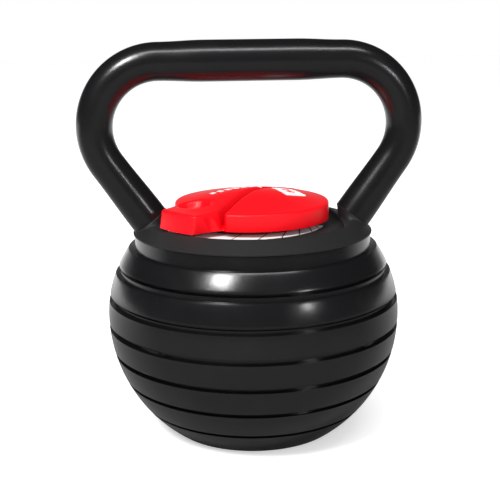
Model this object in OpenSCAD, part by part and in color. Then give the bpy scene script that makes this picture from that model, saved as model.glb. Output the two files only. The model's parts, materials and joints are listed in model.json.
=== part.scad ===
// Adjustable kettlebell: a weighted head with a bent-tube handle and a selector dial,
// standing on six weight plates that the dial picks up one after another.
// The origin is on the floor under the dial's axis, the handle lies along X and the front is -Y.

/* [Body] */
// Diameter of the round body at its widest
body_d = 220; // [214:1:226]
// Height of the widest part above the floor
body_mid_z = 90; // [88:0.5:92]
// Semi-height of the body's curve above the widest part
body_rise = 97; // [95:0.5:100]
// Height of one plate with its groove
plate_pitch = 21; // [20.5:0.1:21.5]
// Height of the top groove, under the head
groove_top = 6; // [5:0.1:6.5]
// Height of the lowest groove
groove_low = 2.7; // [2.5:0.1:3.5]
// Depth of every groove
groove_depth = 3.5; // [3:0.5:6]
// Thickness of a plate's web
web_t = 6; // [5.5:0.1:6.5]
// Volume of one plate in cubic millimetres before its slots and bores, 2.27 kg of cast iron
plate_volume = 315000; // [300000:1000:320000]

/* [Head] */
// Diameter of the neck between the head weight and the cover
neck_d = 176.6; // [174:0.2:177]
// Height of the head weight's flat shoulder above the floor
shoulder_z = 141.5; // [141:0.1:142]
// Diameter of the cover's lower edge
cover_d = 178.6; // [178:0.2:180]
// Height of the cover's lower edge above the floor
cover_z = 151.5; // [151:0.1:152]
// Diameter of the dial well's rim
well_d = 150; // [148:1:151]
// Height of the well's rim above the floor
rim_z = 160.5; // [160:0.1:161]
// Depth of the well
well_depth = 3.5; // [3:0.1:4]
// Half the width of the well between the handle's shoulders
well_flat = 66.5; // [65:0.1:67]

/* [Handle] */
// Diameter of the grip
grip_d = 30; // [28:0.5:31]
// Diameter of the tube in its bends
bend_d = 26.6; // [26:0.1:28]
// Diameter of the tube at its feet
leg_d = 28.2; // [27:0.1:29]
// Height of the grip's axis above the floor
grip_z = 277.5; // [272:0.5:283]
// Radius of the bends at the tube's axis
bend_r = 47.3; // [44:0.1:50]
// Lean of the legs from the vertical
leg_lean = 35.3; // [34:0.1:36]
// Distance of each foot from the dial's axis
foot_x = 78; // [77.5:0.1:78.5]

/* [Dial] */
// Diameter of the round part of the dial
dial_d = 116; // [112:1:116]
// Gap between the dial and the well's rim
dial_gap = 1; // [0.8:0.1:1.5]
// Height of the dial's lever and crown
dial_h = 15.5; // [14:0.5:17]
// Height of the dial's lower face, in front
dial_low_h = 11.5; // [10:0.5:12]
// Radius of the lever's tip
lever_r = 76.5; // [75:0.5:77]
// Angle of the lever's middle from the front, at the lightest setting
lever_angle = -51; // [-52:1:-50]
// Turn of the dial from one setting to the next
step_angle = 15; // [15:1:15]

/* [Selector] */
// Diameter of the shaft in its bushes
shaft_d = 20; // [19:0.5:20]
// Width across the flats of the shaft's hexagon
hex_af = 14; // [13.5:0.1:14]
// Radius that the cams' lugs reach
lug_r = 23; // [22:0.5:23]
// Half the angle of one lug
lug_half = 6; // [5:0.5:6]
// Angle between a lug and its slot's end
slot_play = 1.5; // [1:0.1:1.5]
// Thickness of a cam
cam_t = 5; // [4:0.1:5]
// Gap between a cam and the web above it
cam_gap = 0.4; // [0.3:0.1:0.6]

/* [Hidden] */
$fn = 96;

plate_count = 6;
stack_z = plate_count * plate_pitch;
body_r = body_d / 2;
body_floor = 1;                 // the iron stops this far above the floor, on its pad
pad_r = 52;                     // middle radius of the rubber pad
pad_w = 10;
pad_t = 4;
edge = 0.8;                     // chamfer of the visible edges
hub_in = 26;
hub_out = 33;
hole_r = 13;                    // centre hole of a plate
slot_r = lug_r + 1.5;
lug_count = 3;
pin_r = 5;
pin_clear = 0.08;
pin_place = 41;                 // distance of the locating pins from the axis
pin_up = 4;
pin_boss_r = 9;
well_z = rim_z - well_depth;
well_r = well_d / 2;
cover_r = cover_d / 2;
cover_t = 3.5;
neck_r = neck_d / 2;
neck_in = 74;
head_hub_r = 25;
head_floor_t = 8;
bush_r = shaft_d / 2 + 3;
bush_t = 10;
bush_clear = 0.05;
dial_z = rim_z + dial_gap;
dial_r = dial_d / 2;
dial_wall = 3;
hollow_x = -42;                 // middle of the thumb hollow
hollow_y = -14;
index_z = well_z + 1.2;
index_t = 2.5;
index_r = 26;
shaft_top = dial_z + 9;
nose_z = 3;
end_washer_t = 2.5;
end_bolt_r = 3;
foot_plane_z = 163.5;           // where the leg's axis meets its foot
foot_r = 8;
tube_wall = 3;
grip_taper = 14;
leg_flare = 15;
curve_steps = 6;

// Outer radius of the body at a height above the floor
function body_at(z) = body_r * sqrt(1 - pow((z - body_mid_z) / (z > body_mid_z ? body_rise : body_r), 2));
// Height of groove n: groove 0 is under the head, groove 5 is the lowest
function groove(n) = groove_top + (groove_low - groove_top) * n / (plate_count - 1);
function plate_top(i) = stack_z - (i - 1) * plate_pitch;
function plate_base(i) = i == plate_count ? body_floor : plate_top(i) - plate_pitch;
function skin_top(i) = plate_top(i) - groove(i - 1) / 2;
function skin_base(i) = i == plate_count ? body_floor : plate_base(i) + groove(i) / 2;
// A point at a radius and an angle counted from the front, turning towards +X
function at(r, a) = [r * sin(a), -r * cos(a)];
function arc(r, a0, a1, n) = [for (k = [0:n]) at(r, a0 + (a1 - a0) * k / n)];
// Radius inside a plate's wall that gives every plate the same volume
function wall_r(i) =
    let (r_top = body_at(skin_top(i)),
         r_low = body_at(skin_base(i)),
         r_mid = body_at((skin_top(i) + skin_base(i)) / 2),
         r2 = (r_top * r_top + r_low * r_low + 4 * r_mid * r_mid) / 6,
         cut = groove(i - 1) / 2 * (r_top * r_top - pow(r_top - groove_depth, 2)),
         web = web_t * (r2 - hole_r * hole_r) - cut,
         drop = plate_top(i) - web_t - plate_base(i),
         hub = drop * (hub_out * hub_out - hub_in * hub_in),
         bosses = 2 * drop * pin_boss_r * pin_boss_r)
    sqrt(r2 - (plate_volume / PI - web - hub - bosses) / drop);

module ring(r_out, r_in, z, t) {
    translate([0, 0, z]) difference() {
        cylinder(r = r_out, h = t);
        translate([0, 0, -1]) cylinder(r = r_in, h = t + 2);
    }
}

module hex_bar(af, z, h) {
    translate([0, 0, z]) cylinder(d = af / cos(30), h = h, $fn = 6);
}

// ---- plates -------------------------------------------------------------

// Slots that a plate's keyway needs: each plate is one step wider than the one above it
module keyway(i) {
    half = lug_half + slot_play;
    sweep = (i - 1) * step_angle;
    for (k = [0:lug_count - 1]) rotate(k * 360 / lug_count)
        translate([0, 0, plate_top(i) - web_t - 1]) linear_extrude(web_t + 2)
            polygon(concat([[0, 0]], arc(slot_r, -half, half + sweep, 4 + 2 * i)));
}

module plate_section(i) {
    top = plate_top(i);
    low = plate_base(i);
    z1 = skin_top(i);
    z0 = skin_base(i);
    wall = wall_r(i);
    lip = i == plate_count ? 0 : groove_depth;
    skin = [for (k = [0:curve_steps])
        let (z = z0 + edge + (z1 - z0 - 2 * edge) * k / curve_steps) [body_at(z), z]];
    polygon(concat(
        [[hole_r, top], [hole_r, top - web_t], [hub_in, top - web_t], [hub_in, low], [hub_out, low],
         [hub_out, top - web_t], [wall, top - web_t], [wall, low],
         [body_at(z0) - max(lip, edge), low]],
        i == plate_count ? [] : [[body_at(z0) - lip, z0], [body_at(z0) - edge, z0]],
        skin,
        [[body_at(z1) - edge, z1], [body_at(z1) - groove_depth, z1], [body_at(z1) - groove_depth, top]]));
}

module weight_plate(i) {
    color([0.06, 0.06, 0.065]) difference() {
        union() {
            rotate_extrude() plate_section(i);
            for (s = [-1, 1]) translate([s * pin_place, 0, plate_base(i)])
                cylinder(r = pin_boss_r, h = plate_top(i) - plate_base(i) - 1);
        }
        keyway(i);
        for (s = [-1, 1]) translate([s * pin_place, 0, 0]) {
            translate([0, 0, plate_top(i) - web_t]) cylinder(r = pin_r, h = web_t + 1);
            if (i < plate_count)
                translate([0, 0, plate_base(i) - 1]) cylinder(r = pin_r + pin_clear, h = pin_up + 2);
        }
        if (i == plate_count)
            translate([0, 0, -1]) difference() {
                cylinder(r = pad_r + pad_w / 2, h = pad_t + 1);
                translate([0, 0, -1]) cylinder(r = pad_r - pad_w / 2, h = pad_t + 3);
            }
    }
}

// Two dowels in the top of plate i, which keep the piece above from turning
module locating_pins(i) {
    color([0.72, 0.72, 0.74]) for (s = [-1, 1]) translate([s * pin_place, 0, plate_top(i) - web_t]) {
        cylinder(r = pin_r, h = web_t + pin_up - 1);
        translate([0, 0, web_t + pin_up - 1]) cylinder(r1 = pin_r, r2 = pin_r - 1, h = 1);
    }
}

module base_pad() {
    color([0.03, 0.03, 0.03]) ring(pad_r + pad_w / 2, pad_r - pad_w / 2, 0, pad_t);
}

// ---- head ---------------------------------------------------------------

module head_section() {
    z0 = stack_z + groove(0) / 2;
    z1 = shoulder_z;
    skin = [for (k = [0:curve_steps])
        let (z = z0 + edge + (z1 - z0 - 2 * edge) * k / curve_steps) [body_at(z), z]];
    polygon(concat(
        [[bush_r, stack_z], [body_at(z0) - groove_depth, stack_z], [body_at(z0) - groove_depth, z0],
         [body_at(z0) - edge, z0]],
        skin,
        [[body_at(z1) - edge, z1], [neck_r, z1], [neck_r, cover_z], [neck_in, cover_z], [neck_in, stack_z + head_floor_t],
         [head_hub_r, stack_z + head_floor_t], [head_hub_r, cover_z + 0.5], [bush_r, cover_z + 0.5]]));
}

module head_weight() {
    color([0.06, 0.06, 0.065]) difference() {
        union() {
            rotate_extrude() head_section();
            for (s = [-1, 1]) translate([s * (foot_x - 5), 0, stack_z + 1]) cylinder(r = 14, h = cover_z - stack_z - 1);
            for (a = cover_screw_angles) rotate(a)
                translate([cover_screw_r, 0, stack_z + 1]) cylinder(r = 7, h = well_z - cover_t - stack_z - 1);
        }
        for (s = [-1, 1]) translate([s * foot_x, 0, 0]) {
            translate([0, 0, shoulder_z]) cylinder(r = foot_r, h = 20);
            translate([0, 0, stack_z]) cylinder(r = bolt_r, h = 20);
            translate([0, 0, stack_z - 1]) cylinder(r = washer_r + 0.5, h = bolt_recess + 1);
        }
        for (s = [-1, 1]) translate([s * pin_place, 0, stack_z - 1]) cylinder(r = pin_r + pin_clear, h = pin_up + 2);
        for (a = cover_screw_angles) rotate(a)
            translate([cover_screw_r, 0, shoulder_z]) cylinder(r = cover_screw_shank, h = 20);
        translate([0, 0, stack_z - 1]) cylinder(r = bush_r + 1.5, h = bush_t / 2);
    }
}
bolt_r = 5;
washer_r = 9.5;
bolt_recess = 10;
cover_screw_angles = [40, 140, 220, 320];
cover_screw_r = 48;
cover_screw_shank = 2;

// Thick cover over the head: a sloping ring with a shoulder under each leg
module cover_shell() {
    rotate_extrude() polygon([
        [cover_r, cover_z], [cover_r, cover_z + 1.5], [well_r + 2, rim_z - 0.2], [well_r + 1, rim_z], [0, rim_z],
        [0, well_z - cover_t], [neck_in - 2, well_z - cover_t], [neck_in, cover_z]]);
    intersection() {
        for (s = [0, 180]) rotate(s) hull() {
            translate([foot_x, 0, foot_plane_z]) rotate([0, leg_lean, 0]) translate([0, 0, -2])
                cylinder(d = leg_d + 3, h = 2, $fn = 40);
            for (a = [-shoulder_low, 0, shoulder_low]) rotate(a)
                translate([cover_r - 14, 0, cover_z]) cylinder(r = 13.2, h = 1, $fn = 40);
            for (a = [-shoulder_high, shoulder_high]) rotate(a)
                translate([well_r + 1, 0, rim_z - 3]) cylinder(r = 1.5, h = 2.4, $fn = 24);
        }
        translate([0, 0, cover_z]) cylinder(r = cover_r - 0.4, h = 40);
    }
}
shoulder_low = 28;
shoulder_high = 20;

module well_outline(grow) {
    intersection() {
        circle(r = well_r + grow);
        square([2 * (well_flat + grow), 2 * well_d], center = true);
    }
}

module top_cover() {
    color([0.17, 0.17, 0.18]) difference() {
        cover_shell();
        translate([0, 0, well_z]) linear_extrude(40) well_outline(0);
        translate([0, 0, dial_z - 0.5]) linear_extrude(40)
            polygon(concat([[0, 0]], arc(lever_r + 1.2, lever_angle - 19, lever_angle + 90 + 19, 24)));
        translate([0, 0, cover_z - 10]) cylinder(r = neck_in - 4, h = well_z - cover_t - cover_z + 10);
        translate([0, 0, 100]) cylinder(r = shaft_hole_r, h = 100);
        for (s = [-1, 1]) translate([s * foot_x, 0, 140]) cylinder(r = foot_r + 0.1, h = 40);
        for (a = cover_screw_angles) rotate(a) translate([cover_screw_r, 0, 140]) {
            cylinder(r = cover_screw_shank + 0.2, h = 30);
            translate([0, 0, well_z - 140 - 1.6]) cylinder(r = 3.8, h = 10);
        }
        translate([leaf_x, leaf_y, 140]) for (dx = [0, 12]) translate([dx, 0, 0]) cylinder(r = 1.3, h = 30);
    }
}
shaft_hole_r = 15;

// White crescent that tapers away to the right, printed under the dial
band_cx = -9.3;
band_cy = 3.2;
band_out = 64.2;
band_in = 43.5;
band_t = 0.4;
function band_point(r, a) = [band_cx + r * sin(a), band_cy - r * cos(a)];
module crescent() {
    intersection() {
        difference() {
            translate([band_cx, band_cy]) circle(r = band_out);
            translate([-2, 0]) circle(r = band_in);
        }
        polygon(concat([[0, 0]], arc(120, -84, 68, 12)));
        well_outline(-0.6);
    }
}
line_w = 0.9;
line_angles = [-18.7, -0.4, 15.5, 29.4, 42.3, 52.9];
module line_strip(n) {
    outer = at(58, line_angles[n]);
    translate(outer) rotate(180 - [26, 24, 15, 8, 1, -5][n]) translate([-line_w / 2, -25]) square([line_w, 50]);
}
module scale_band() {
    color([0.93, 0.93, 0.93]) translate([0, 0, well_z]) linear_extrude(band_t) difference() {
        crescent();
        for (n = [0:5]) line_strip(n);
    }
}
module scale_lines() {
    color([0.12, 0.12, 0.12]) translate([0, 0, well_z]) linear_extrude(band_t) intersection() {
        crescent();
        union() for (n = [0:5]) line_strip(n);
    }
}

// Handle: grip, two bends and two straight legs, hollow throughout
bend_end_z = grip_z - bend_r - bend_r * sin(leg_lean);
leg_len = (bend_end_z - foot_plane_z) / cos(leg_lean);
grip_half = foot_x + leg_len * sin(leg_lean) - bend_r * cos(leg_lean);
tube_in = bend_d / 2 - tube_wall;

module grip() {
    half = grip_half;
    translate([0, 0, grip_z]) rotate([0, 90, 0]) rotate_extrude() polygon([
        [tube_in, -half], [bend_d / 2, -half], [grip_d / 2 - 0.4, -half + grip_taper], [grip_d / 2, -half + grip_taper + 8],
        [grip_d / 2, half - grip_taper - 8], [grip_d / 2 - 0.4, half - grip_taper], [bend_d / 2, half], [tube_in, half]]);
}

module half_handle() {
    translate([grip_half, 0, grip_z - bend_r]) rotate([90, 0, 0]) rotate(-leg_lean)
        rotate_extrude(angle = 90 + leg_lean) translate([bend_r, 0]) difference() {
            circle(r = bend_d / 2);
            circle(r = tube_in);
        }
    translate([grip_half + bend_r * cos(leg_lean), 0, bend_end_z]) rotate([0, 180 + leg_lean, 0])
        rotate_extrude() polygon([[tube_in, 0], [bend_d / 2, 0], [leg_d / 2, leg_flare], [leg_d / 2, leg_len],
            [tube_in, leg_len]]);
}

module handle() {
    color([0.05, 0.05, 0.055]) union() {
        grip();
        half_handle();
        rotate(180) half_handle();
    }
}

// A foot is a plug in the tube with a stem that drops straight into the head weight
module handle_feet() {
    color([0.45, 0.45, 0.47]) for (s = [0, 180]) rotate(s) difference() {
        union() {
            translate([foot_x, 0, foot_plane_z]) rotate([0, leg_lean, 0]) cylinder(r = tube_in, h = 24);
            translate([foot_x, 0, shoulder_z]) cylinder(r = foot_r, h = foot_plane_z - shoulder_z);
        }
        translate([foot_x, 0, shoulder_z - 1]) cylinder(r = bolt_r, h = 19);
    }
}

module foot_bolts() {
    head_z = stack_z + bolt_recess - washer_t;
    color([0.5, 0.5, 0.52]) for (s = [-1, 1]) translate([s * foot_x, 0, 0]) difference() {
        union() {
            translate([0, 0, head_z - 6]) cylinder(r = 8, h = 6);
            translate([0, 0, head_z]) cylinder(r = bolt_r, h = shoulder_z + 18 - head_z - 0.5);
        }
        translate([0, 0, head_z - 7]) cylinder(d = 8 / cos(30), h = 5, $fn = 6);
    }
}
washer_t = 1.6;

module foot_washers() {
    color([0.6, 0.6, 0.62]) for (s = [-1, 1]) translate([s * foot_x, 0, 0])
        ring(washer_r, bolt_r, stack_z + bolt_recess - washer_t, washer_t);
}

module cover_screws() {
    color([0.3, 0.3, 0.31]) for (a = cover_screw_angles) rotate(a) translate([cover_screw_r, 0, 0]) difference() {
        union() {
            translate([0, 0, shoulder_z + 1]) cylinder(r = cover_screw_shank, h = well_z - 1.6 - shoulder_z - 1);
            translate([0, 0, well_z - 1.6]) cylinder(r = 3.6, h = 1.5);
        }
        translate([0, 0, well_z - 1.2]) cylinder(d = 2.6, h = 3, $fn = 6);
    }
}

module upper_bush() {
    color([0.72, 0.55, 0.25]) ring(bush_r, shaft_d / 2 + bush_clear, cover_z + 0.5 - bush_t, bush_t);
}
module lower_bush() {
    color([0.72, 0.55, 0.25]) ring(bush_r, shaft_d / 2 + bush_clear, stack_z + bush_t / 2 - 1, bush_t);
}

// Leaf spring with a round nose that clicks into the index plate's notches
leaf_x = -6;
leaf_y = -37;
leaf_t = 0.8;
module detent_leaf() {
    color([0.7, 0.7, 0.72]) translate([0, 0, well_z]) union() {
        translate([leaf_x - 4, leaf_y - 4, 0]) difference() {
            cube([20, 8, leaf_t]);
            for (dx = [4, 16]) translate([dx, 4, -1]) cylinder(r = 1.5, h = 3);
        }
        translate([leaf_x - 4, leaf_y + 4, 0]) cube([20, leaf_t, 3.4]);
        translate([leaf_x - 10, leaf_y + 4, 0.2]) cube([10, leaf_t, 3.2]);
        translate([0, leaf_y + 4 + leaf_t / 2, 1]) linear_extrude(2.4)
            polygon([[-2.6, 0], [2.6, 0], [0.8, nose_len], [-0.8, nose_len]]);
    }
}
nose_len = -leaf_y - 4 - leaf_t / 2 - index_r - 0.3;   // drawn pressed back, just clear of the index plate

module leaf_screws() {
    color([0.3, 0.3, 0.31]) for (dx = [0, 12]) translate([leaf_x + dx, leaf_y, 0]) {
        translate([0, 0, well_z - 3]) cylinder(r = 1.3, h = 3 + leaf_t);
        translate([0, 0, well_z + leaf_t]) cylinder(r = 2.6, h = 1.4);
    }
}

// ---- dial and selector ----------------------------------------------------

// Plan of the dial: a disc with the lever's head standing out in front
module dial_plan() {
    circle(r = dial_r);
    polygon(concat([[0, 0]], [[-44, 8]], arc(lever_r, lever_angle - 15, lever_angle + 14.5, 8),
        [[-37, -53], [-30.5, -50.5], [-24.5, -46.5]]));
}

// Plan of the lower face, in front of the long curved step
module low_plan() {
    polygon(concat(
        [[-44.8, -63], [-37, -53], [-30.5, -50.5], [-24.5, -46.5], [-17.8, -34.7], [-6.4, -12.2], [5.2, 7.4],
         [18.1, 25.7], [31.6, 38.6], [44, 45]],
        arc(90, 130, -30, 10)));
}

module dial_body() {
    difference() {
        translate([0, 0, dial_z]) linear_extrude(dial_h) dial_plan();
        translate([0, 0, dial_z + dial_low_h]) linear_extrude(dial_h) low_plan();
        translate([hollow_x, hollow_y, dial_z + dial_h + 22]) sphere(r = 25.5);
    }
}

module dial_knob() {
    color([0.85, 0.03, 0.06]) difference() {
        dial_body();
        difference() {
            translate([0, 0, dial_z - 1]) cylinder(r = dial_r - dial_wall, h = dial_low_h - dial_wall + 1);
            translate([0, 0, dial_z - 2]) cylinder(r = 20, h = 30);
        }
        hex_bar(hex_af, dial_z - 1, shaft_top - dial_z + 1.2);
        for (a = dial_screw_angles) rotate(a) translate([dial_screw_r, 0, dial_z - 1]) cylinder(r = 1.5, h = 8);
    }
}
dial_screw_angles = [30, 150, 270];
dial_screw_r = 16;

// Plain generic diamond mark on the dial's lower face
module dial_badge() {
    color([0.93, 0.93, 0.93]) translate([31, 2, dial_z + dial_low_h]) rotate(28) linear_extrude(0.4)
        difference() {
            square([19, 19], center = true);
            for (c = [0, 90, 180, 270]) rotate(c) translate([9.5, 9.5]) rotate(45) square([3, 6], center = true);
        }
}

module dial_screws() {
    color([0.3, 0.3, 0.31]) for (a = dial_screw_angles) rotate(a) translate([dial_screw_r, 0, 0]) {
        translate([0, 0, index_z]) cylinder(r = 1.5, h = dial_z + 6 - index_z);
        translate([0, 0, index_z - 0.8]) cylinder(r = 2.8, h = 0.8);
    }
}

// Disc under the dial with one notch for each of the seven settings
module index_plate() {
    color([0.55, 0.55, 0.57]) difference() {
        union() {
            translate([0, 0, index_z]) cylinder(r = index_r, h = index_t);
            translate([0, 0, index_z + index_t]) cylinder(r = 19, h = dial_z - index_z - index_t);
        }
        hex_bar(hex_af, index_z - 1, 10);
        for (n = [0:plate_count]) rotate(-n * step_angle) translate([0, -index_r, index_z - 1]) linear_extrude(index_t + 2)
            polygon([[-2.2, -1], [2.2, -1], [1, 2.2], [-1, 2.2]]);
        for (a = dial_screw_angles) rotate(a) translate([dial_screw_r, 0, index_z - 1]) cylinder(r = 1.5, h = 10);
    }
}

module selector_shaft() {
    round_low = stack_z - 2;
    color([0.62, 0.62, 0.64]) difference() {
        union() {
            hex_bar(hex_af, cam_z(plate_count), round_low - cam_z(plate_count));
            translate([0, 0, round_low]) cylinder(d = shaft_d, h = index_z - round_low);
            hex_bar(hex_af, index_z, shaft_top - index_z);
        }
        ring(shaft_d, shaft_d / 2 - 1.5, retainer_z, retainer_t);
        translate([0, 0, cam_z(plate_count) - 1]) cylinder(r = end_bolt_r, h = 20);
    }
}
thrust_z = cover_z + 0.5;
thrust_t = 1.5;
retainer_z = thrust_z + thrust_t + 0.05;
retainer_t = 1.5;

module thrust_washer() {
    color([0.72, 0.55, 0.25]) ring(14.5, shaft_d / 2 + bush_clear, thrust_z, thrust_t);
}
module retaining_ring() {
    color([0.35, 0.35, 0.36]) difference() {
        ring(13, shaft_d / 2 - 1.5, retainer_z, retainer_t);
        translate([0, -5, retainer_z - 1]) cube([20, 10, 4]);
    }
}

function cam_z(i) = plate_top(i) - web_t - cam_gap - cam_t;
module lock_cam(i) {
    color([0.75, 0.6, 0.3]) difference() {
        union() {
            translate([0, 0, cam_z(i)]) cylinder(r = 11.5, h = cam_t);
            for (k = [0:lug_count - 1]) rotate(k * 360 / lug_count)
                translate([0, 0, cam_z(i)]) linear_extrude(cam_t)
                    polygon(concat([[0, 0]], arc(lug_r, -lug_half, lug_half, 4)));
        }
        hex_bar(hex_af, cam_z(i) - 1, cam_t + 2);
    }
}

module spacer(z0, z1) {
    difference() {
        translate([0, 0, z0]) cylinder(r = 10.5, h = z1 - z0);
        hex_bar(hex_af, z0 - 1, z1 - z0 + 2);
    }
}
module cam_spacers() {
    color([0.66, 0.66, 0.68]) for (i = [1:plate_count - 1]) spacer(cam_z(i + 1) + cam_t, cam_z(i));
}
module top_spacer() {
    color([0.66, 0.66, 0.68]) spacer(cam_z(1) + cam_t, stack_z - 2);
}
module end_washer() {
    color([0.6, 0.6, 0.62]) ring(11, end_bolt_r, cam_z(plate_count) - end_washer_t, end_washer_t);
}
module end_bolt() {
    head_z = cam_z(plate_count) - end_washer_t;
    color([0.5, 0.5, 0.52]) difference() {
        union() {
            translate([0, 0, nose_z]) cylinder(r = 7, h = head_z - nose_z);
            translate([0, 0, head_z]) cylinder(r = end_bolt_r, h = 20);
        }
        translate([0, 0, nose_z - 1]) cylinder(d = 6 / cos(30), h = 3.5, $fn = 6);
    }
}

weight_plate(1);  // weight_plate_1
weight_plate(2);  // weight_plate_2
weight_plate(3);  // weight_plate_3
weight_plate(4);  // weight_plate_4
weight_plate(5);  // weight_plate_5
weight_plate(6);  // weight_plate_6
locating_pins(1);  // locating_pins_1
locating_pins(2);  // locating_pins_2
locating_pins(3);  // locating_pins_3
locating_pins(4);  // locating_pins_4
locating_pins(5);  // locating_pins_5
locating_pins(6);  // locating_pins_6
base_pad();
head_weight();
top_cover();
scale_band();
scale_lines();
handle();
handle_feet();
foot_bolts();
foot_washers();
cover_screws();
upper_bush();
lower_bush();
detent_leaf();
leaf_screws();
dial_knob();
dial_badge();
dial_screws();
index_plate();
selector_shaft();
thrust_washer();
retaining_ring();
lock_cam(1);  // lock_cam_1
lock_cam(2);  // lock_cam_2
lock_cam(3);  // lock_cam_3
lock_cam(4);  // lock_cam_4
lock_cam(5);  // lock_cam_5
lock_cam(6);  // lock_cam_6
cam_spacers();
top_spacer();
end_washer();
end_bolt();
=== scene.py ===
import json
import math

import bpy
import bmesh
from mathutils import Matrix, Vector


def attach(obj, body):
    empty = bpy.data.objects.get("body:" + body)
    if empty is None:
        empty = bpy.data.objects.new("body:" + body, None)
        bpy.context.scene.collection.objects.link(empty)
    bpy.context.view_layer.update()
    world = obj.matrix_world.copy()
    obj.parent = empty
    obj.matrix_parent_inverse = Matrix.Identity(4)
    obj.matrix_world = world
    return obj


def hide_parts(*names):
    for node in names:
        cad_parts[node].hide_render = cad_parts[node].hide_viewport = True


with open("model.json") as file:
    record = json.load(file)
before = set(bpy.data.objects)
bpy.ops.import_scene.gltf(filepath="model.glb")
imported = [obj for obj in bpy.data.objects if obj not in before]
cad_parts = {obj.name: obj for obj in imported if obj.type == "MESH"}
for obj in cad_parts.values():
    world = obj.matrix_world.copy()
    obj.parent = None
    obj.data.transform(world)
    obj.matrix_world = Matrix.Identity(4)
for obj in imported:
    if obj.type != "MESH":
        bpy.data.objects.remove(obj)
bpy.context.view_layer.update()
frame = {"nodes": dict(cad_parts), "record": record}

MM = 0.001

# ---- the kettlebell's own sizes, in millimetres ------------------------------
BODY_R = 110.0
BODY_MID_Z = 90.0
BODY_RISE = 97.0
PITCH = 21.0
STACK_Z = 126.0
GROOVES = [6.0, 5.34, 4.68, 4.02, 3.36, 2.7]
GROOVE_DEPTH = 3.5
WEB = 6.0
SHOULDER_Z = 141.5
NECK_R = 88.3
COVER_R = 89.3
COVER_Z = 151.5
RIM_Z = 160.5
WELL_R = 75.0
WELL_FLAT = 62.5
WELL_Z = 157.0
DIAL_Z = 161.5
DIAL_R = 58.0
GRIP_Z = 277.5
BEND_R = 47.3
LEAN = math.radians(35.3)
FOOT_X = 78.0
FOOT_Z = 163.5


# ---- modelling helpers --------------------------------------------------------
def begin():
    if bpy.context.object and bpy.context.object.mode != "OBJECT":
        bpy.ops.object.mode_set(mode="OBJECT")
    bpy.ops.object.select_all(action="DESELECT")


def edit(piece):
    begin()
    bpy.context.view_layer.objects.active = piece
    piece.select_set(True)
    bpy.ops.object.mode_set(mode="EDIT")


def done():
    bpy.ops.object.mode_set(mode="OBJECT")


def settle(piece, name):
    """Puts the piece's place into its mesh and leaves the object at the origin."""
    begin()
    bpy.context.view_layer.objects.active = piece
    piece.select_set(True)
    bpy.ops.object.transform_apply(location=True, rotation=True, scale=True)
    piece.name = name
    piece.data.name = name
    return piece


def select_where(piece, test, kind="VERT"):
    """Selects the vertices, edges or faces whose middle passes the test, in millimetres."""
    bpy.ops.mesh.select_mode(type=kind)
    bpy.ops.mesh.select_all(action="DESELECT")
    mesh = bmesh.from_edit_mesh(piece.data)
    parts = {"VERT": mesh.verts, "EDGE": mesh.edges, "FACE": mesh.faces}[kind]
    count = 0
    for part in parts:
        if kind == "VERT":
            middle = part.co
        elif kind == "EDGE":
            middle = (part.verts[0].co + part.verts[1].co) / 2
        else:
            middle = part.calc_center_median()
        if test(middle / MM):
            part.select_set(True)
            count += 1
    mesh.select_flush_mode()
    bmesh.update_edit_mesh(piece.data)
    return count


def apply(piece, kind, **settings):
    """Adds one modifier, sets it and applies it."""
    begin()
    bpy.context.view_layer.objects.active = piece
    piece.select_set(True)
    modifier = piece.modifiers.new(kind.title(), kind)
    for key, value in settings.items():
        setattr(modifier, key, value)
    bpy.ops.object.modifier_apply(modifier=modifier.name)
    return piece


def round_edges(piece, width, segments=3, angle=30):
    return apply(piece, "BEVEL", width=width * MM, segments=segments, limit_method="ANGLE",
                 angle_limit=math.radians(angle), use_clamp_overlap=True)


def smooth(piece, angle=35):
    begin()
    bpy.context.view_layer.objects.active = piece
    piece.select_set(True)
    bpy.ops.object.shade_smooth_by_angle(angle=math.radians(angle))
    return piece


def tidy_mesh(piece):
    edit(piece)
    bpy.ops.mesh.select_all(action="SELECT")
    bpy.ops.mesh.remove_doubles(threshold=0.000002)
    bpy.ops.mesh.normals_make_consistent(inside=False)
    done()
    return piece


def turned(name, profile, segments=160):
    """A turned ring: one circle is drawn out and resized along a closed outline of (radius, height)."""
    begin()
    r0, z0 = profile[0]
    bpy.ops.mesh.primitive_circle_add(vertices=segments, radius=r0 * MM, location=(0, 0, z0 * MM))
    piece = settle(bpy.context.object, name)
    edit(piece)
    bpy.ops.mesh.select_all(action="SELECT")
    for (r_a, z_a), (r_b, z_b) in zip(profile, profile[1:] + profile[:1]):
        bpy.ops.mesh.extrude_region_move(TRANSFORM_OT_translate={"value": (0, 0, (z_b - z_a) * MM)})
        if abs(r_b - r_a) > 1e-6:
            bpy.ops.transform.resize(value=(r_b / r_a, r_b / r_a, 1), center_override=(0, 0, 0))
    done()
    return tidy_mesh(piece)


def prism(name, outline, z0, z1):
    """A plate cut to an outline: one corner is drawn from point to point, closed, filled and drawn up."""
    begin()
    bpy.ops.mesh.primitive_plane_add(size=MM)
    piece = settle(bpy.context.object, name)
    edit(piece)
    bpy.ops.mesh.select_all(action="SELECT")
    bpy.ops.mesh.merge(type="CENTER")
    place = Vector((0, 0, 0))
    corner = Vector((outline[0][0], outline[0][1], z0))
    bpy.ops.transform.translate(value=corner * MM)
    for x, y in list(outline[1:]) + [outline[0]]:
        place, corner = corner, Vector((x, y, z0))
        bpy.ops.mesh.extrude_region_move(TRANSFORM_OT_translate={"value": (corner - place) * MM})
    bpy.ops.mesh.select_all(action="SELECT")
    bpy.ops.mesh.remove_doubles(threshold=0.000002)
    bpy.ops.mesh.select_all(action="SELECT")
    bpy.ops.mesh.edge_face_add()
    bpy.ops.mesh.extrude_region_move(TRANSFORM_OT_translate={"value": (0, 0, (z1 - z0) * MM)})
    done()
    return tidy_mesh(piece)


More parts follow.
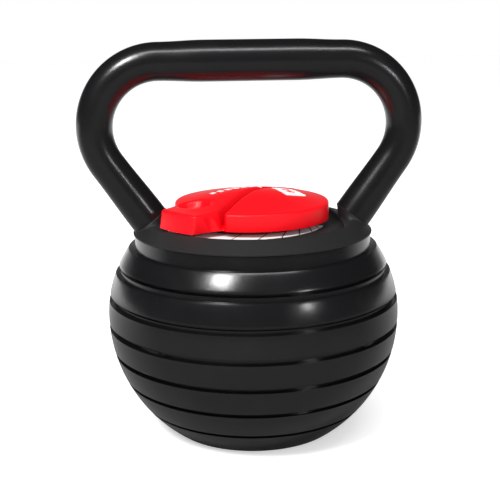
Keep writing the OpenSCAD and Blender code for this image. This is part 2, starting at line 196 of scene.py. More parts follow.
def rod(name, x, y, z0, z1, r, vertices=48):
    begin()
    bpy.ops.mesh.primitive_cylinder_add(vertices=vertices, radius=r * MM, depth=(z1 - z0) * MM,
                                        location=(x * MM, y * MM, (z0 + z1) / 2 * MM))
    return settle(bpy.context.object, name)


def cut(piece, tool, how="DIFFERENCE"):
    """Cuts, joins or trims the piece with a tool body, then clears the tool away."""
    begin()
    bpy.context.view_layer.objects.active = piece
    piece.select_set(True)
    modifier = piece.modifiers.new("Cut", "BOOLEAN")
    modifier.operation = how
    modifier.solver = "EXACT"
    modifier.object = tool
    bpy.ops.object.modifier_apply(modifier=modifier.name)
    bpy.data.objects.remove(tool, do_unlink=True)
    return piece


def join(first, *others):
    begin()
    for other in others:
        other.select_set(True)
    first.select_set(True)
    bpy.context.view_layer.objects.active = first
    bpy.ops.object.join()
    return first


def at(r, degrees):
    """A point at a radius and an angle from the front, turning towards +X."""
    a = math.radians(degrees)
    return (r * math.sin(a), -r * math.cos(a))


def arc(r, a0, a1, count):
    return [at(r, a0 + (a1 - a0) * k / count) for k in range(count + 1)]


# ---- finishes -----------------------------------------------------------------
def group_input(group, name, kind, default):
    socket = group.interface.new_socket(name=name, in_out="INPUT", socket_type=kind)
    socket.default_value = default


def build_edge_wear():
    """Mask of noise patches for rubbed spots and light handling marks: Amount sets how much shows."""
    group = bpy.data.node_groups.new("Edge rub", "ShaderNodeTree")
    group_input(group, "Scale", "NodeSocketFloat", 40.0)
    group_input(group, "Amount", "NodeSocketFloat", 0.5)
    group.interface.new_socket(name="Mask", in_out="OUTPUT", socket_type="NodeSocketFloat")
    nodes, links = group.nodes, group.links
    start = nodes.new("NodeGroupInput")
    place = nodes.new("ShaderNodeTexCoord")
    patch = nodes.new("ShaderNodeTexNoise")
    patch.inputs["Detail"].default_value = 4.0
    shape = nodes.new("ShaderNodeMapRange")
    shape.inputs["From Min"].default_value = 0.52
    shape.inputs["From Max"].default_value = 0.75
    amount = nodes.new("ShaderNodeMath")
    amount.operation = "MULTIPLY"
    end = nodes.new("NodeGroupOutput")
    links.new(place.outputs["Object"], patch.inputs["Vector"])
    links.new(start.outputs["Scale"], patch.inputs["Scale"])
    links.new(patch.outputs["Fac"], shape.inputs["Value"])
    links.new(shape.outputs["Result"], amount.inputs[0])
    links.new(start.outputs["Amount"], amount.inputs[1])
    links.new(amount.outputs["Value"], end.inputs["Mask"])
    return group


def build_skin():
    """Height of a sprayed or moulded skin: fine grain over a slow ripple."""
    group = bpy.data.node_groups.new("Skin grain", "ShaderNodeTree")
    group_input(group, "Grain", "NodeSocketFloat", 900.0)
    group_input(group, "Ripple", "NodeSocketFloat", 90.0)
    group_input(group, "Share", "NodeSocketFloat", 0.5)
    group.interface.new_socket(name="Height", in_out="OUTPUT", socket_type="NodeSocketFloat")
    nodes, links = group.nodes, group.links
    start = nodes.new("NodeGroupInput")
    place = nodes.new("ShaderNodeTexCoord")
    fine = nodes.new("ShaderNodeTexNoise")
    slow = nodes.new("ShaderNodeTexNoise")
    fine.inputs["Detail"].default_value = 2.0
    slow.inputs["Detail"].default_value = 1.0
    blend = nodes.new("ShaderNodeMix")
    blend.data_type = "FLOAT"
    end = nodes.new("NodeGroupOutput")
    for texture, name in ((fine, "Grain"), (slow, "Ripple")):
        links.new(place.outputs["Object"], texture.inputs["Vector"])
        links.new(start.outputs[name], texture.inputs["Scale"])
    links.new(start.outputs["Share"], blend.inputs[0])
    links.new(slow.outputs["Fac"], blend.inputs[2])
    links.new(fine.outputs["Fac"], blend.inputs[3])
    links.new(blend.outputs[0], end.inputs["Height"])
    return group


EDGE_RUB = build_edge_wear()
SKIN = build_skin()


def finish_of(name, color, rough, metallic=0.0, coat=0.0, coat_rough=0.1, grain=900.0, ripple=90.0, share=0.5,
              bump=0.02, depth=0.0002, rub=0.2, rub_scale=40.0, color_change=0.85, rough_change=0.08, ior=1.5,
              specular=0.5):
    """One painted, moulded or bare finish, with its skin texture and light handling marks."""
    material = bpy.data.materials.new(name)
    material.use_nodes = True
    nodes, links = material.node_tree.nodes, material.node_tree.links
    shader = nodes["Principled BSDF"]
    shader.inputs["Metallic"].default_value = metallic
    shader.inputs["Coat Weight"].default_value = coat
    shader.inputs["Coat Roughness"].default_value = coat_rough
    shader.inputs["IOR"].default_value = ior
    shader.inputs["Specular IOR Level"].default_value = specular
    marks = nodes.new("ShaderNodeGroup")
    marks.node_tree = EDGE_RUB
    marks.inputs["Scale"].default_value = rub_scale
    marks.inputs["Amount"].default_value = rub
    tint = nodes.new("ShaderNodeMix")
    tint.data_type = "RGBA"
    tint.inputs[6].default_value = (*color, 1)
    tint.inputs[7].default_value = (*[c * color_change for c in color], 1)
    links.new(marks.outputs["Mask"], tint.inputs[0])
    links.new(tint.outputs[2], shader.inputs["Base Color"])
    sheen = nodes.new("ShaderNodeMapRange")
    sheen.inputs["To Min"].default_value = rough
    sheen.inputs["To Max"].default_value = rough + rough_change
    links.new(marks.outputs["Mask"], sheen.inputs["Value"])
    links.new(sheen.outputs["Result"], shader.inputs["Roughness"])
    skin = nodes.new("ShaderNodeGroup")
    skin.node_tree = SKIN
    skin.inputs["Grain"].default_value = grain
    skin.inputs["Ripple"].default_value = ripple
    skin.inputs["Share"].default_value = share
    relief = nodes.new("ShaderNodeBump")
    relief.inputs["Strength"].default_value = bump
    relief.inputs["Distance"].default_value = depth
    links.new(skin.outputs["Height"], relief.inputs["Height"])
    links.new(relief.outputs["Normal"], shader.inputs["Normal"])
    return material


iron_enamel = finish_of("Black enamel on iron", (0.005, 0.005, 0.0055), 0.22, coat=0.0, bump=0.25,
                        depth=0.0003,
                        grain=700, ripple=120, share=0.35, rub=0.5, color_change=1.6)
tube_coat = finish_of("Black powder coat on the tube", (0.005, 0.005, 0.0055), 0.24, bump=0.2, depth=0.0002,
                      grain=900, ripple=150, share=0.6, rub=0.4, color_change=1.5)
cover_plastic = finish_of("Charcoal moulded cover", (0.011, 0.0112, 0.0115), 0.5, bump=0.3, depth=0.0002,
                          grain=1500, ripple=300, share=0.7, rub=0.3, color_change=1.2)
dial_plastic = finish_of("Red moulded dial", (0.70, 0.001, 0.006), 0.36, bump=0.12, depth=0.0002, grain=1400,
                         ripple=120, share=0.5, rub=0.3, color_change=0.93)
print_white = finish_of("White print", (0.80, 0.80, 0.80), 0.45, bump=0.05, grain=1500, rub=0.3,
                        color_change=0.96)
print_black = finish_of("Black print", (0.02, 0.02, 0.02), 0.5, bump=0.05, grain=1500, rub=0.3,
                        color_change=1.5)
ground_steel = finish_of("Ground steel", (0.55, 0.55, 0.57), 0.28, metallic=1.0, bump=0.1, grain=1200,
                         rub=0.5)
turned_steel = finish_of("Zinc-plated steel", (0.42, 0.43, 0.45), 0.36, metallic=1.0, bump=0.1,
                         grain=900, rub=0.6)
spring_steel = finish_of("Spring steel", (0.40, 0.41, 0.43), 0.30, metallic=1.0, bump=0.05, grain=900,
                         rub=0.5)
bronze = finish_of("Bearing bronze", (0.48, 0.30, 0.12), 0.38, metallic=1.0, bump=0.15, grain=1500, rub=0.6)
black_oxide = finish_of("Black oxide", (0.03, 0.03, 0.032), 0.42, metallic=0.8, bump=0.1, grain=900, rub=0.4,
                        color_change=2.0)
pad_rubber = finish_of("Base pad rubber", (0.018, 0.018, 0.018), 0.75, bump=0.5, depth=0.0003,
                       grain=1300, rub=0.4,
                       color_change=1.5)

for plastic, shine in ((dial_plastic, 0.2), (cover_plastic, 0.35)):
    plastic.node_tree.nodes["Principled BSDF"].inputs["Specular IOR Level"].default_value = shine

NODE_FINISH = {
    "cast_iron": iron_enamel, "steel_pin": ground_steel, "rubber_pad": pad_rubber, "cover": cover_plastic,
    "scale_white": print_white, "scale_black": print_black, "tube": tube_coat, "plain_steel": turned_steel,
    "black_screw": black_oxide, "bronze": bronze, "spring_steel": spring_steel, "dial_red": dial_plastic,
    "badge": print_white,
}
for entry in frame["record"]["subparts"]:
    node = frame["nodes"][entry["node"]]
    node.data.materials.clear()
    node.data.materials.append(NODE_FINISH[entry["material_slot"]])


def dress(piece, material):
    piece.data.materials.clear()
    piece.data.materials.append(material)
    return piece


# ---- weight plates --------------------------------------------------------------
def body_at(z):
    half = BODY_RISE if z > BODY_MID_Z else BODY_R
    return BODY_R * math.sqrt(1 - ((z - BODY_MID_Z) / half) ** 2)


def skin_points(z0, z1, steps=8):
    return [(body_at(z0 + (z1 - z0) * k / steps), z0 + (z1 - z0) * k / steps) for k in range(steps + 1)]


def plate_wall(number):
    """Radius inside the plate's wall, read from the plain node's own underside."""
    node = frame["nodes"]["weight_plate_%d" % number]
    low = STACK_Z - number * PITCH if number < 6 else 1.0
    radii = sorted(math.hypot(v.co.x, v.co.y) / MM for v in node.data.vertices
                   if abs(v.co.z / MM - low) < 0.02 and math.hypot(v.co.x, v.co.y) / MM > 58)
    return radii[0]


def keyway_tool(number):
    half, sweep = 7.5, (number - 1) * 15.0
    top = STACK_Z - (number - 1) * PITCH
    tool = None
    for k in range(3):
        turn = 120.0 * k
        outline = [(0, 0)] + arc(24.5, turn - half, turn + half + sweep, 6 + 2 * number)
        wedge = prism("keyway tool", outline, top - WEB - 1, top + 1)
        tool = wedge if tool is None else cut(tool, wedge, "UNION")
    return tool


def weight_plate(number):
    top = STACK_Z - (number - 1) * PITCH
    low = top - PITCH if number < 6 else 1.0
    z1 = top - GROOVES[number - 1] / 2
    z0 = low + GROOVES[number] / 2 if number < 6 else low
    wall = plate_wall(number)
    outside = skin_points(z0, z1)
    profile = [(13.0, top), (13.0, top - WEB), (26.0, top - WEB), (26.0, low), (33.0, low), (33.0, top - WEB),
               (wall, top - WEB), (wall, low)]
    if number < 6:
        profile += [(outside[0][0] - GROOVE_DEPTH, low), (outside[0][0] - GROOVE_DEPTH, z0)]
    profile += outside
    profile += [(outside[-1][0] - GROOVE_DEPTH, z1), (outside[-1][0] - GROOVE_DEPTH, top)]
    plate = turned("plate_casting_%d" % number, profile)
    for side in (-1, 1):
        boss_low = low
        cut(plate, rod("pin boss tool", side * 41, 0, boss_low + 0.01, top - 1, 9), "UNION")
        if number < 6:
            cut(plate, rod("pin bore tool", side * 41, 0, low - 1, low + 5, 5.08))
        cut(plate, rod("pin seat tool", side * 41, 0, top - WEB, top + 1, 5.0))
    cut(plate, keyway_tool(number))
    if number == 6:
        pad_slot = turned("pad slot tool", [(47, -1), (57, -1), (57, 4), (47, 4)], 96)
        cut(plate, pad_slot)
    tidy_mesh(plate)
    round_edges(plate, 0.7, 3, 40)
    smooth(plate, 32)
    dress(plate, iron_enamel)
    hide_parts("weight_plate_%d" % number)
    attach(plate, "plate_%d" % number)
    return plate


for plate_number in range(1, 7):
    weight_plate(plate_number)


# ---- head casting ---------------------------------------------------------------
def head_casting():
    z0 = STACK_Z + GROOVES[0] / 2
    outside = skin_points(z0, SHOULDER_Z, 6)
    profile = [(13, STACK_Z), (outside[0][0] - GROOVE_DEPTH, STACK_Z), (outside[0][0] - GROOVE_DEPTH, z0)]
    profile += outside
    profile += [(NECK_R, SHOULDER_Z), (NECK_R, COVER_Z), (74, COVER_Z), (74, STACK_Z + 8), (25, STACK_Z + 8),
                (25, COVER_Z + 0.5), (13, COVER_Z + 0.5)]
    head = turned("head_casting", profile, 192)
    for side in (-1, 1):
        cut(head, rod("foot boss tool", side * 73, 0, STACK_Z + 1, COVER_Z, 14), "UNION")
        cut(head, rod("foot bore tool", side * FOOT_X, 0, SHOULDER_Z, COVER_Z + 5, 8))
        cut(head, rod("bolt bore tool", side * FOOT_X, 0, STACK_Z + 5, SHOULDER_Z + 2, 5))
        cut(head, rod("bolt recess tool", side * FOOT_X, 0, STACK_Z - 1, STACK_Z + 10, 10))
        cut(head, rod("pin bore tool", side * 41, 0, STACK_Z - 1, STACK_Z + 5, 5.08))
    cut(head, rod("spacer recess tool", 0, 0, STACK_Z - 1, STACK_Z + 4, 14.5))
    tidy_mesh(head)
    round_edges(head, 0.9, 3, 40)
    smooth(head, 32)
    dress(head, iron_enamel)
    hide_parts("head_weight")
    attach(head, "head")
    return head


head_casting()


# ---- top cover --------------------------------------------------------------------
def foot_boss(side):
    """The raised seat of one leg: a round top square to the leg, flaring down into the cover."""
    begin()
    out = Vector((math.sin(LEAN), 0, math.cos(LEAN)))
    bpy.ops.mesh.primitive_circle_add(vertices=72, radius=14.2 * MM, fill_type="NGON", rotation=(0, LEAN, 0),
                                      location=(Vector((FOOT_X, 0, FOOT_Z)) - out * 2.2) * MM)
    boss = settle(bpy.context.object, "foot_boss")
    edit(boss)
    bpy.ops.mesh.select_all(action="SELECT")
    bpy.ops.mesh.extrude_region_move(TRANSFORM_OT_translate={"value": tuple(out * -0.4 * MM)})
    low = (Vector((FOOT_X, 0, FOOT_Z)) - out * 2.6) * MM
    bpy.ops.transform.resize(value=(1.03, 1.03, 1.03), center_override=tuple(low))
    steps = 9
    flat = 1.0
    for k in range(1, steps + 1):
        t = k / steps
        bpy.ops.mesh.extrude_region_move(TRANSFORM_OT_translate={"value": (0.12 * MM, 0, -0.95 * MM)})
        mesh = bmesh.from_edit_mesh(boss.data)
        ring = [v.co for v in mesh.verts if v.select]
        middle = sum(ring, Vector((0, 0, 0))) / len(ring)
        new_flat = 1 - 0.83 * (1 - math.cos(t * math.pi / 2))
        wide = 1 + 0.085 * t
        bpy.ops.transform.resize(value=(0.993, wide, new_flat / flat), center_override=tuple(middle))
        flat = new_flat
    if side:
        bpy.ops.mesh.select_all(action="SELECT")
        bpy.ops.transform.resize(value=(-1, -1, 1), center_override=(0, 0, 0))
    done()
    return tidy_mesh(boss)


def top_cover():
    """A sloping ring: the rim climbs to a shoulder at each leg, and the well is cut straight beside it."""
    cover_low = COVER_Z + 1.2
    profile = [(70, COVER_Z + 2), (74, COVER_Z), (COVER_R - 0.6, COVER_Z), (COVER_R, COVER_Z + 0.5),
               (COVER_R, cover_low)]
    slope = 12
    for k in range(1, slope + 1):
        t = k / slope
        profile.append((COVER_R + (WELL_R + 1.2 - COVER_R) * t, cover_low + (RIM_Z - 0.1 - cover_low) * t))
    profile += [(WELL_R + 0.5, RIM_Z), (WELL_R, RIM_Z - 0.5), (WELL_R, RIM_Z - 1.8), (WELL_R, WELL_Z),
                (60, WELL_Z), (40, WELL_Z), (15, WELL_Z), (15, WELL_Z - 3.5), (70, WELL_Z - 3.5)]
    cover = turned("cover_shell", profile, 256)
    edit(cover)
    for side in (-1, 1):
        # flattened wall of the well beside the leg
        select_where(cover, lambda p: p.x * side > WELL_FLAT and p.z > WELL_Z - 0.01
                     and math.hypot(p.x, p.y) < WELL_R + 0.1)
        bpy.ops.transform.resize(value=(0.3, 1, 1), center_override=(side * WELL_FLAT * MM, 0, 0))
        select_where(cover, lambda p: p.x * side > WELL_FLAT and p.z > RIM_Z - 0.6
                     and WELL_R + 0.1 < math.hypot(p.x, p.y) < WELL_R + 1.3)
        bpy.ops.transform.resize(value=(0.3, 1, 1), center_override=(side * (WELL_FLAT + 0.9) * MM, 0, 0))
    done()
    tidy_mesh(cover)
    for side in (0, 180):
        join(cover, foot_boss(side))
    cover.name = "cover_shell"
    smooth(cover, 40)
    dress(cover, cover_plastic)
    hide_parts("top_cover")
    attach(cover, "head")
    return cover


top_cover()


# ---- handle -----------------------------------------------------------------------
def bent_tube():
    """One tube: leg, bend, swelling grip, bend, leg."""
    bend_end_z = GRIP_Z - BEND_R - BEND_R * math.sin(LEAN)
    leg = (bend_end_z - FOOT_Z) / math.cos(LEAN)
    half = FOOT_X + leg * math.sin(LEAN) - BEND_R * math.cos(LEAN)
    foot_r, bend_tube, grip_start, grip_r = 14.3, 13.2, 13.9, 15.0
    start = -2.0
    out = Vector((math.sin(LEAN), 0, math.cos(LEAN)))
    begin()
    bpy.ops.mesh.primitive_circle_add(vertices=64, radius=foot_r * MM, fill_type="NGON",
                                      rotation=(0, LEAN, 0),
                                      location=(Vector((FOOT_X, 0, FOOT_Z)) + out * start) * MM)
    tube = settle(bpy.context.object, "bent_tube")
    edit(tube)
    bpy.ops.mesh.select_all(action="SELECT")

    def swell(a, b):
        """Resizes the drawn ring about its own middle."""
        mesh = bmesh.from_edit_mesh(tube.data)
        ring = [v.co for v in mesh.verts if v.select]
        middle = sum(ring, Vector((0, 0, 0))) / len(ring)
        bpy.ops.transform.resize(value=(b / a,) * 3, center_override=tuple(middle))

    def ease(a, b, t):
        return a + (b - a) * (0.5 - 0.5 * math.cos(math.pi * t))

    def run(length, direction, r_a, r_b, steps):
        for k in range(steps):
            bpy.ops.mesh.extrude_region_move(
                TRANSFORM_OT_translate={"value": tuple(direction * (length / steps) * MM)})
            swell(ease(r_a, r_b, k / steps), ease(r_a, r_b, (k + 1) / steps))

    def bend(x, radii, steps):
        for k in range(steps):
            bpy.ops.mesh.spin(steps=1, angle=turn / steps, center=(x * MM, 0, (GRIP_Z - BEND_R) * MM),
                              axis=(0, 1, 0))
            swell(radii(k / steps), radii((k + 1) / steps))

    turn = math.radians(90) + LEAN
    run(leg - start, out, foot_r, bend_tube, 12)
    bend(half, lambda t: ease(bend_tube, grip_start, t), 44)
    left = Vector((-1, 0, 0))
    run(34, left, grip_start, grip_r, 12)
    run(2 * half - 68, left, grip_r, grip_r, 10)
    run(34, left, grip_r, grip_start, 12)
    bend(-half, lambda t: ease(grip_start, bend_tube, t), 44)
    run(leg - start, Vector((out.x, 0, -out.z)), bend_tube, foot_r, 12)
    done()
    tidy_mesh(tube)
    smooth(tube, 60)
    dress(tube, tube_coat)
    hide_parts("handle")
    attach(tube, "head")
    return tube


bent_tube()


# ---- dial -------------------------------------------------------------------------
def lay_grid(piece, step):
    """Cuts the piece along a square grid, so that its top can be shaped."""
    xs = [v.co.x / MM for v in piece.data.vertices]
    ys = [v.co.y / MM for v in piece.data.vertices]
    edit(piece)
    for low, high, normal in ((min(xs), max(xs), (1, 0, 0)), (min(ys), max(ys), (0, 1, 0))):
        count = int((high - low) / step)
        for k in range(1, count):
            place = (low + (high - low) * k / count) * MM
            bpy.ops.mesh.select_all(action="SELECT")
            bpy.ops.mesh.bisect(plane_co=tuple(place * n for n in normal), plane_no=normal)
    bpy.ops.mesh.select_all(action="SELECT")
    bpy.ops.mesh.remove_doubles(threshold=0.00008)
    done()
    return piece


def draw_up(piece, middle, reach, rise, size, above):
    """Lifts the top round a middle point, fading out over a distance. All below a height stays."""
    edit(piece)
    select_where(piece, lambda p: p.z < above)
    bpy.ops.mesh.hide(unselected=False)
    select_where(piece, lambda p: p.z > above and math.hypot(p.x - middle[0], p.y - middle[1]) < reach)
    bpy.ops.transform.translate(value=(0, 0, rise * MM), use_proportional_edit=True,
                                proportional_edit_falloff="SMOOTH", proportional_size=size * MM,
                                use_proportional_connected=False)
    bpy.ops.mesh.reveal(select=False)
    done()
    return piece


DIAL_TOP = RIM_Z + 13.0
DOME_RISE = 8.6
DOME_REACH = 72.0
DOME_X, DOME_Y = 2.0, 4.0
CHANNEL_STEPS = 12


def bow(start, pull, end, count):
    """Points along one smooth bow from start to end, drawn toward the pull point."""
    points = []
    for k in range(count + 1):
        t = k / count
        points.append(tuple((1 - t) ** 2 * a + 2 * t * (1 - t) * b + t * t * c
                            for a, b, c in zip(start, pull, end)))
    return points


CHANNEL = bow((-24.5, -48.5), (4, 17), (42.3, 41), CHANNEL_STEPS)


def beside(line, k, gap):
    """The point a gap to the left of point k of a line."""
    a, b = line[max(k - 1, 0)], line[min(k + 1, len(line) - 1)]
    run = math.hypot(b[0] - a[0], b[1] - a[1])
    return (line[k][0] - (b[1] - a[1]) / run * gap, line[k][1] + (b[0] - a[0]) / run * gap)


def dome_height(x, y):
    """Height of the domed top at a place, with the same fade as draw_up."""
    t = max(0.0, 1 - math.hypot(x - DOME_X, y - DOME_Y) / DOME_REACH)
    return DIAL_TOP + DOME_RISE * t * t * (3 - 2 * t)


def remesh(piece, size):
    return apply(piece, "REMESH", mode="VOXEL", voxel_size=size * MM)


def dome(piece):
    """Raises the shared dome of the dial's top."""
    remesh(piece, 0.8)
    return draw_up(piece, (DOME_X, DOME_Y), 1.5, DOME_RISE, DOME_REACH, DIAL_Z + 4)


def lever_and_crown():
    side = [(-47.5, -58.8), (-42, -55), (-34, -51.5)] + CHANNEL
    lean = [-1.6, -1.0, 2.5]
    lean += [7 * math.cos(k / CHANNEL_STEPS * math.pi / 2) ** 0.4 for k in range(CHANNEL_STEPS + 1)]
    outline = arc(76.5, -67, -42, 10) + side + arc(57.9, 136, 283, 40)
    outline += [(-57.4, -12), (-59.2, -16.5), (-62.8, -22), (-66.5, -27)]
    crown = prism("dial_crown", outline, DIAL_Z - 3, DIAL_TOP + 0.4)
    edit(crown)
    for k, (x, y) in enumerate(side):
        new_x, new_y = beside(side, k, lean[k])
        select_where(crown, lambda p: math.hypot(p.x - x, p.y - y) < 0.3 and p.z > DIAL_Z + 2)
        bpy.ops.transform.translate(value=((new_x - x) * MM, (new_y - y) * MM, 0))
    select_where(crown, lambda p: math.hypot(p.x, p.y) > 73 and p.z > DIAL_Z + 2)
    bpy.ops.transform.resize(value=(0.965, 0.965, 1), center_override=(0, 0, 0))
    done()
    return crown


def channel_floor():
    """The floor of the channel beside the lever, climbing until it meets the dial's top."""
    left = [beside(CHANNEL, k, 9.5) for k in range(len(CHANNEL))]
    right = [beside(CHANNEL, k, -2.0) for k in range(len(CHANNEL))]
    floor = prism("dial_channel", [*right, *reversed(left)], DIAL_Z - 3, DIAL_Z + 1)
    edit(floor)
    for k, place in enumerate(CHANNEL):
        pair = (left[k], right[k])
        select_where(floor, lambda p: p.z > DIAL_Z
                     and min(math.hypot(p.x - q[0], p.y - q[1]) for q in pair) < 0.3)
        depth = 1.0 + 11.0 * (1 - k / CHANNEL_STEPS) ** 1.3
        bpy.ops.transform.translate(value=(0, 0, (dome_height(*place) - depth - DIAL_Z - 1) * MM))
    done()
    return floor


def lower_face():
    outline = CHANNEL + arc(DIAL_R - 0.6, 130, -25, 60)
    return prism("dial_face", outline, DIAL_Z - 3, DIAL_TOP)


def dial_top():
    """Lever, crown and lower face under one dome, with the tip lifted and the thumb hollow pressed in."""
    top = dome(join(lever_and_crown(), lower_face()))
    draw_up(top, (-60, -38), 2, 1.0, 40, DIAL_Z + 4)
    return draw_up(top, (-43.5, -19), 8.5, -6.4, 5.0, DIAL_Z + 8)


def dial_cap():
    dial = join(dial_top(), channel_floor())
    dial.name = "dial_cap"
    dial.data.name = "dial_cap"
    remesh(dial, 0.7)
    apply(dial, "SMOOTH", factor=0.5, iterations=18)
    edit(dial)
    bpy.ops.mesh.select_all(action="SELECT")
    bpy.ops.mesh.bisect(plane_co=(0, 0, DIAL_Z * MM), plane_no=(0, 0, 1), clear_inner=True, use_fill=True)
    done()
    tidy_mesh(dial)
    smooth(dial, 50)
    dress(dial, dial_plastic)
    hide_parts("dial_knob")
    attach(dial, "selector")
    return dial


dial_cap()


# ---- prints on the dial -------------------------------------------------------------
def dial_height(x, y):
    """Height of the dial's top at a place, read straight down."""
    dial = bpy.data.objects["dial_cap"]
    hit, place, _, _ = dial.ray_cast(Vector((x, y, 250)) * MM, Vector((0, 0, -1)))
    return place.z / MM if hit else DIAL_TOP


def lay_on_dial(piece, thickness):
    """Drops a flat print onto the dial's top, then gives it its thickness, half of it sunk in."""
    for v in piece.data.vertices:
        v.co.z = (dial_height(v.co.x / MM, v.co.y / MM) + 0.05) * MM
    return apply(piece, "SOLIDIFY", thickness=thickness * MM, offset=0)


def patch(name, outline, grid):
    flat = prism(name, outline, 200, 201)
    edit(flat)
    select_where(flat, lambda p: p.z < 200.5, "FACE")
    bpy.ops.mesh.delete(type="FACE")
    select_where(flat, lambda p: p.z < 200.9)
    bpy.ops.mesh.delete(type="VERT")
    done()
    return lay_grid(flat, grid)


def mark_with_a_bell():
    """White label with rounded corners, and a plain weight sign in red on it."""
    half_long, half_wide, corner, turn = 14.5, 8.5, 2.6, math.radians(-72)
    middle = (28.5, 6)

    def place(u, v):
        return (middle[0] + u * math.cos(turn) - v * math.sin(turn),
                middle[1] + u * math.sin(turn) + v * math.cos(turn))

    outline = []
    for cx, cy, first in ((1, -1, -90), (1, 1, 0), (-1, 1, 90), (-1, -1, 180)):
        for k in range(5):
            a = math.radians(first + 22.5 * k)
            outline.append(place(cx * (half_long - corner) + corner * math.cos(a),
                                 cy * (half_wide - corner) + corner * math.sin(a)))
    label = lay_on_dial(patch("dial_label", outline, 2.0), 0.5)
    dress(label, print_white)
    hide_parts("dial_badge")
    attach(label, "selector")
    signs = []
    # middle, length and height of the bar and its four discs
    for u0, w, h in ((-0.6, 6.4, 1.6), (-4.2, 1.6, 7.4), (-6.3, 1.4, 4.6), (3.0, 1.6, 7.4), (5.1, 1.4, 4.6)):
        box = [place(u0 + sx * w / 2, sy * h / 2) for sx, sy in ((-1, -1), (1, -1), (1, 1), (-1, 1))]
        sign = patch("sign", box, 1.2)
        signs.append(sign)
    sign = join(*signs)
    sign.name = "dial_label_sign"
    for v in sign.data.vertices:
        v.co.z = (dial_height(v.co.x / MM, v.co.y / MM) + 0.22) * MM
    apply(sign, "SOLIDIFY", thickness=0.36 * MM, offset=0)
    dress(sign, dial_plastic)
    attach(sign, "selector")


def crown_bars():
    """A row of short white bars along the crown, each a little taller than the one before."""
    bars = []
    slope = math.radians(24)
    for k in range(7):
        cx, cy = -29 + 6.4 * k * math.cos(slope), 6.5 + 6.4 * k * math.sin(slope)
        tall = 2.6 + 0.3 * k
        corners = [(cx + u * 1.7 * math.cos(slope) - v * tall * math.sin(slope),
                    cy + u * 1.7 * math.sin(slope) + v * tall * math.cos(slope))
                   for u, v in ((-1, -1), (1, -1), (1, 1), (-1, 1))]
        bars.append(patch("bar", corners, 1.2))
    row = join(*bars)
    row.name = "crown_bars"
    row = lay_on_dial(row, 0.5)
    dress(row, print_white)
    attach(row, "selector")


mark_with_a_bell()
crown_bars()


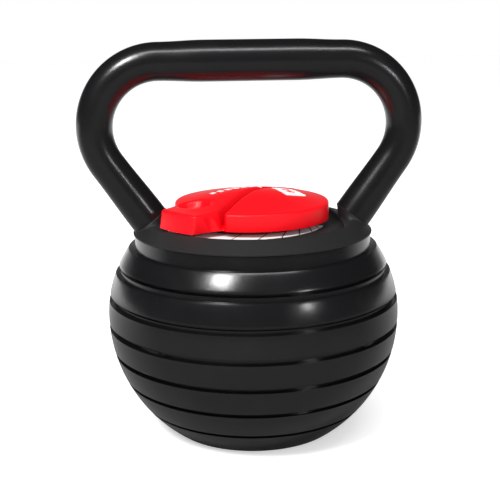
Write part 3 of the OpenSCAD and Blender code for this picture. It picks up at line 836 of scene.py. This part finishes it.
# ---- studio -----------------------------------------------------------------------
def studio():
    bpy.context.scene.view_settings.view_transform = "Standard"
    begin()
    bpy.ops.mesh.primitive_plane_add(size=12, location=(0, 3, 0))
    floor = settle(bpy.context.object, "studio_floor")
    paper = bpy.data.materials.new("Pale paper")
    paper.use_nodes = True
    nodes, links = paper.node_tree.nodes, paper.node_tree.links
    shader = nodes["Principled BSDF"]
    shader.inputs["Base Color"].default_value = (0.9, 0.9, 0.9, 1)
    shader.inputs["Roughness"].default_value = 0.9
    shader.inputs["Specular IOR Level"].default_value = 0.0
    shader.inputs["Emission Color"].default_value = (1, 1, 1, 1)
    shader.inputs["Emission Strength"].default_value = 0.45
    # Seen only in reflections, the floor is painted darker in front of the bell and lighter behind it:
    # painted shade and light in its reflections.
    place = nodes.new("ShaderNodeTexCoord")
    axes = nodes.new("ShaderNodeSeparateXYZ")
    fade = nodes.new("ShaderNodeMapRange")
    fade.inputs["From Min"].default_value = -0.1
    fade.inputs["From Max"].default_value = 0.7
    fade.inputs["To Min"].default_value = 0.16
    fade.inputs["To Max"].default_value = 0.8
    painted_reflection_tone = nodes.new("ShaderNodeCombineColor")
    soft = nodes.new("ShaderNodeBsdfDiffuse")
    path = nodes.new("ShaderNodeLightPath")
    mix = nodes.new("ShaderNodeMixShader")
    links.new(place.outputs["Object"], axes.inputs["Vector"])
    links.new(axes.outputs["Y"], fade.inputs["Value"])
    for channel in ("Red", "Green", "Blue"):
        links.new(fade.outputs["Result"], painted_reflection_tone.inputs[channel])
    # Seen only in reflections, the floor behind the bell glows though it is no lamp. This painted reflection
    # puts bright strips on the ball's sides.
    far = nodes.new("ShaderNodeMapRange")
    far.inputs["From Min"].default_value = 0.3
    far.inputs["From Max"].default_value = 1.0
    far.inputs["To Min"].default_value = 0.0
    far.inputs["To Max"].default_value = 0.9
    painted_reflection_glow = nodes.new("ShaderNodeEmission")
    both = nodes.new("ShaderNodeAddShader")
    links.new(axes.outputs["Y"], far.inputs["Value"])
    links.new(far.outputs["Result"], painted_reflection_glow.inputs["Strength"])
    links.new(soft.outputs["BSDF"], both.inputs[0])
    links.new(painted_reflection_glow.outputs["Emission"], both.inputs[1])
    links.new(painted_reflection_tone.outputs["Color"], soft.inputs["Color"])
    links.new(path.outputs["Is Glossy Ray"], mix.inputs["Fac"])
    links.new(shader.outputs["BSDF"], mix.inputs[1])
    links.new(both.outputs["Shader"], mix.inputs[2])
    links.new(mix.outputs["Shader"], nodes["Material Output"].inputs["Surface"])
    floor.data.materials.append(paper)

    world = bpy.data.worlds.new("Studio")
    bpy.context.scene.world = world
    world.use_nodes = True
    nodes, links = world.node_tree.nodes, world.node_tree.links
    nodes.clear()
    end = nodes.new("ShaderNodeOutputWorld")
    mix = nodes.new("ShaderNodeMixShader")
    bright = nodes.new("ShaderNodeBackground")
    bright.inputs["Color"].default_value = (1, 1, 1, 1)
    bright.inputs["Strength"].default_value = 0.6
    dim = nodes.new("ShaderNodeBackground")
    dim.inputs["Color"].default_value = (1, 1, 1, 1)
    place = nodes.new("ShaderNodeTexCoord")
    axes = nodes.new("ShaderNodeSeparateXYZ")
    behind = nodes.new("ShaderNodeMapRange")
    behind.inputs["From Min"].default_value = 0.55
    behind.inputs["From Max"].default_value = 0.95
    behind.inputs["To Min"].default_value = 0.05
    behind.inputs["To Max"].default_value = 0.9
    low = nodes.new("ShaderNodeMapRange")
    low.inputs["From Min"].default_value = 0.03
    low.inputs["From Max"].default_value = 0.22
    low.inputs["To Min"].default_value = 1.0
    low.inputs["To Max"].default_value = 0.05
    both = nodes.new("ShaderNodeMath")
    both.operation = "MULTIPLY"
    seen = nodes.new("ShaderNodeBackground")
    seen.inputs["Color"].default_value = (1, 1, 1, 1)
    seen.inputs["Strength"].default_value = 1.0
    top = nodes.new("ShaderNodeMixShader")
    path = nodes.new("ShaderNodeLightPath")
    links.new(place.outputs["Generated"], axes.inputs["Vector"])
    links.new(axes.outputs["Y"], behind.inputs["Value"])
    links.new(axes.outputs["Z"], low.inputs["Value"])
    links.new(behind.outputs["Result"], both.inputs[0])
    links.new(low.outputs["Result"], both.inputs[1])
    links.new(both.outputs["Value"], dim.inputs["Strength"])
    links.new(path.outputs["Is Glossy Ray"], mix.inputs["Fac"])
    links.new(bright.outputs["Background"], mix.inputs[1])
    links.new(dim.outputs["Background"], mix.inputs[2])
    links.new(path.outputs["Is Camera Ray"], top.inputs["Fac"])
    links.new(mix.outputs["Shader"], top.inputs[1])
    links.new(seen.outputs["Background"], top.inputs[2])
    links.new(top.outputs["Shader"], end.inputs["Surface"])

    def lamp(name, place, target, size_x, size_y, power):
        light = bpy.data.lights.new(name, "AREA")
        light.shape = "RECTANGLE"
        light.size = size_x
        light.size_y = size_y
        light.energy = power
        lamp_object = bpy.data.objects.new(name, light)
        bpy.context.scene.collection.objects.link(lamp_object)
        lamp_object.location = place
        aim = Vector(target) - Vector(place)
        lamp_object.rotation_mode = "QUATERNION"
        lamp_object.rotation_quaternion = aim.to_track_quat("-Z", "Y")
        return lamp_object

    middle = (0, 0, 0.16)
    lamp("key_softbox", (-0.73, -0.94, 1.40), middle, 0.36, 0.42, 28)
    lamp("front_spot", (1.0, -1.3, 0.72), middle, 0.12, 0.12, 3)
    fill = lamp("front_fill", (-0.25, -1.9, 0.55), middle, 1.4, 0.5, 9)
    fill.visible_glossy = False
    lamp("grip_strip", (0.1, -0.75, 1.75), (0, 0, 0.28), 1.5, 0.22, 13)


studio()


# ---- camera -----------------------------------------------------------------------
def camera():
    data = bpy.data.cameras.new("Camera")
    data.sensor_width = 36.0
    data.lens = 18.0 / math.tan(math.radians(28.92 / 2))
    cam = bpy.data.objects.new("Camera", data)
    bpy.context.scene.collection.objects.link(cam)
    aim = Vector((0.0914, 0.9701, -0.2248))
    look = aim.to_track_quat("-Z", "Y").to_matrix().to_4x4()
    roll = Matrix.Rotation(math.radians(-0.68), 4, "Z")
    cam.matrix_world = Matrix.Translation((-0.0693, -0.7140, 0.3014)) @ look @ roll
    data.clip_start, data.clip_end = 0.01, 50
    bpy.context.scene.camera = cam


camera()
